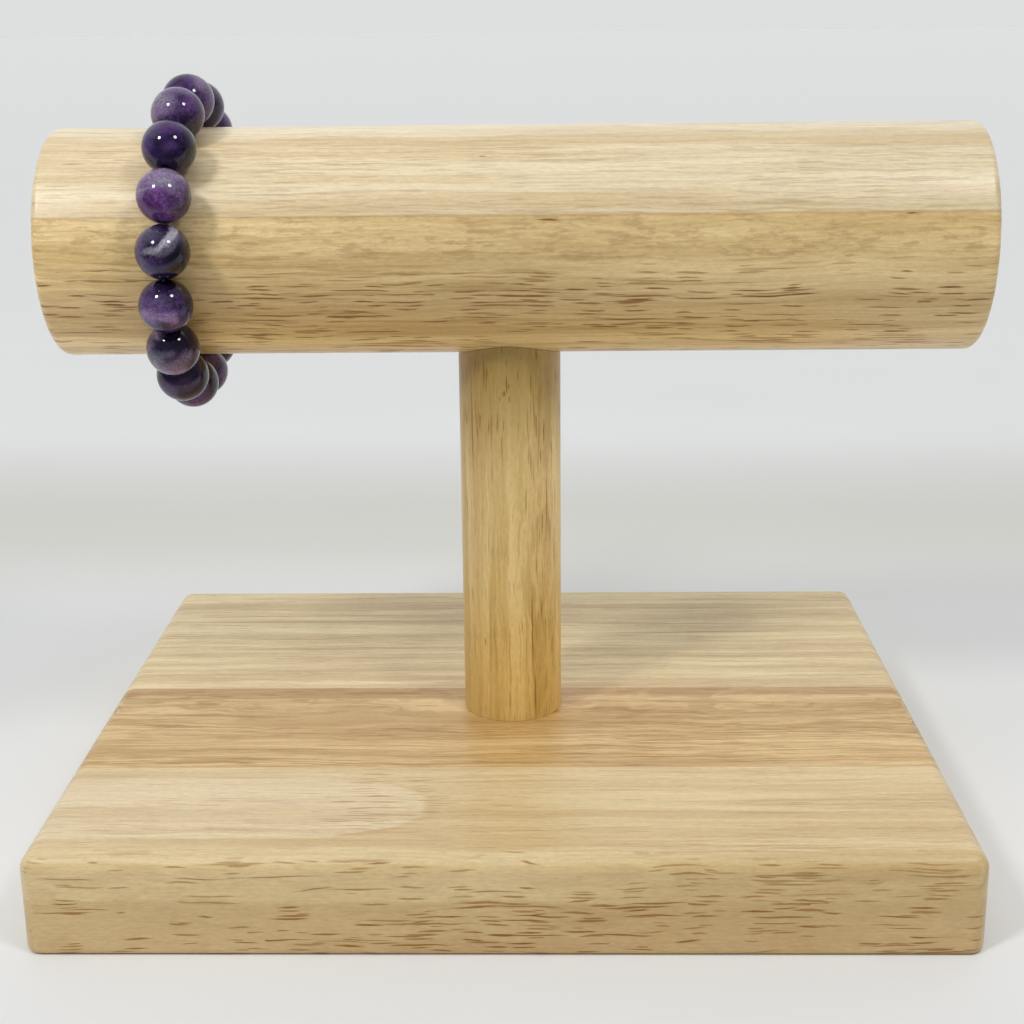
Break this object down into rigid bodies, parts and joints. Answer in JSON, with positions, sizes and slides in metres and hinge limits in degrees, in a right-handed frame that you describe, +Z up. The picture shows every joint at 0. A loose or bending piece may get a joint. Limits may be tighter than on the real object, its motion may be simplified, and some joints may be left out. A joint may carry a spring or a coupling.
{
  "type": "crystal bead bracelet on a t-bar stand",
  "caption": "Stretch bracelet of round polished amethyst beads hung on one arm of a small wooden T-bar stand with a flat rectangular base board.",
  "frame": {"origin": "in the plane of the base board's underside, below the middle of the crossbar's length and halfway across the board's depth", "axes": "+X along the crossbar to the viewer's right, +Y away from the viewer, +Z up"},
  "size_m": [0.1784, 0.142, 0.1493],
  "materials": {
    "board_wood": "pale edge-glued hardwood under a satin lacquer",
    "bar_wood": "pale turned hardwood with dark pores under a satin lacquer",
    "post_wood": "honey-coloured turned hardwood under a satin lacquer",
    "dowel_wood": "bare birch",
    "amethyst_deep": "polished dark violet quartz, nearly opaque",
    "amethyst_mid": "polished violet quartz with paler bands",
    "amethyst_milky": "polished cloudy lavender quartz",
    "elastic": "clear elastic jewellery thread"
  },
  "bodies": {
    "root": {"base_board": "board_wood", "post": "post_wood", "crossbar": "bar_wood", "foot_dowel": "dowel_wood", "head_dowel": "dowel_wood", "elastic_thread": "elastic", "bead_01": "amethyst_deep", "bead_02": "amethyst_mid", "bead_03": "amethyst_deep", "bead_04": "amethyst_milky", "bead_05": "amethyst_deep", "bead_06": "amethyst_mid", "bead_07": "amethyst_milky", "bead_08": "amethyst_deep", "bead_09": "amethyst_deep", "bead_10": "amethyst_mid", "bead_11": "amethyst_deep", "bead_12": "amethyst_mid", "bead_13": "amethyst_deep", "bead_14": "amethyst_milky", "bead_15": "amethyst_deep", "bead_16": "amethyst_mid", "bead_17": "amethyst_deep"}
  },
  "joints": []
}
